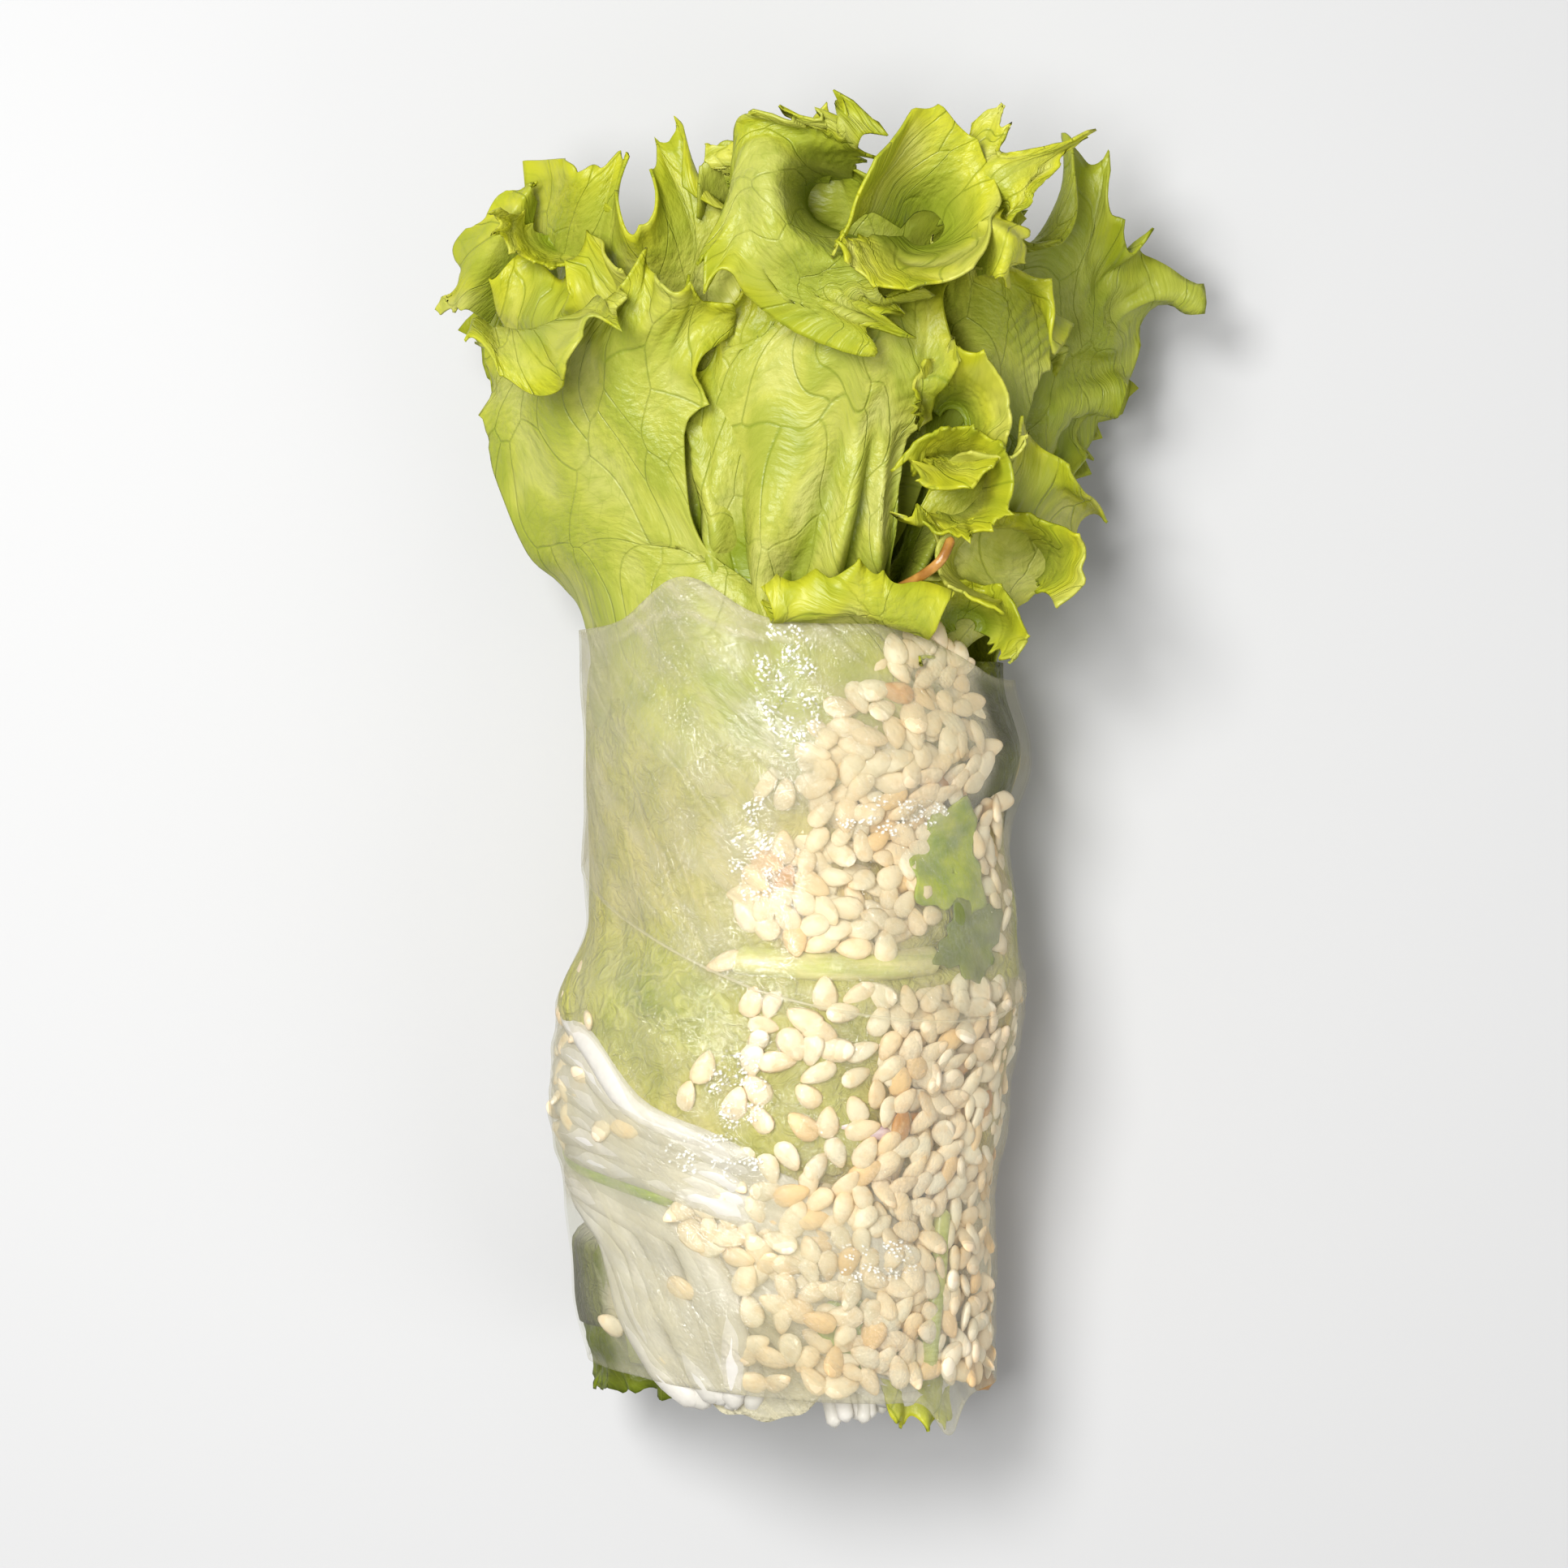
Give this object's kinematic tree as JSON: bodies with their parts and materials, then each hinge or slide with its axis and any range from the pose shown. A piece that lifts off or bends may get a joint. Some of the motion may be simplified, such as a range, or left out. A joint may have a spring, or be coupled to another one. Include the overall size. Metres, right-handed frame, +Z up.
{
  "type": "rice paper roll",
  "caption": "Rice paper roll lying on its side: clear film round lettuce, noodles, herbs and sesame seeds, with frilly lettuce leaves standing out of one end.",
  "frame": {"origin": "on the flat underside of the film, on the roll's long axis, halfway along the film", "axes": "+Y along the roll towards the leaves, +Z up from the surface it lies on, +X to the right seen from above"},
  "size_m": [0.0607, 0.1169, 0.0416],
  "materials": {
    "rice_paper": "translucent, wet gloss over a milky body",
    "lettuce": "satin, waxy leaf",
    "lettuce_pale": "satin, pale inner leaf",
    "noodle": "translucent, wet gloss",
    "herb": "matt leaf",
    "stem": "satin, pale green",
    "carrot": "satin, raw carrot",
    "shallot": "matt, fried brown",
    "sesame": "satin, lightly toasted"
  },
  "bodies": {
    "root": {"wrapper": "rice_paper", "lettuce_filling": "lettuce_pale", "noodle_band": "noodle", "noodle_bunch": "noodle", "coriander_leaf_upper": "herb", "coriander_leaf_lower": "herb", "herb_leaf_small": "herb", "herb_stem_middle": "stem", "herb_stem_left": "stem", "herb_stem_right": "stem", "shallot_sliver": "shallot", "carrot_shred_mouth": "carrot", "carrot_shred_end": "carrot", "sesame_upper": "sesame", "sesame_lower": "sesame", "lettuce_edge_left": "lettuce", "lettuce_edge_right": "lettuce", "leaf_left": "lettuce", "leaf_centre": "lettuce", "leaf_flap": "lettuce", "leaf_right": "lettuce", "leaf_curl_right": "lettuce", "leaf_back_left": "lettuce", "leaf_back_centre": "lettuce", "leaf_back_right": "lettuce", "leaf_inner": "lettuce", "leaf_under": "lettuce"}
  },
  "joints": []
}
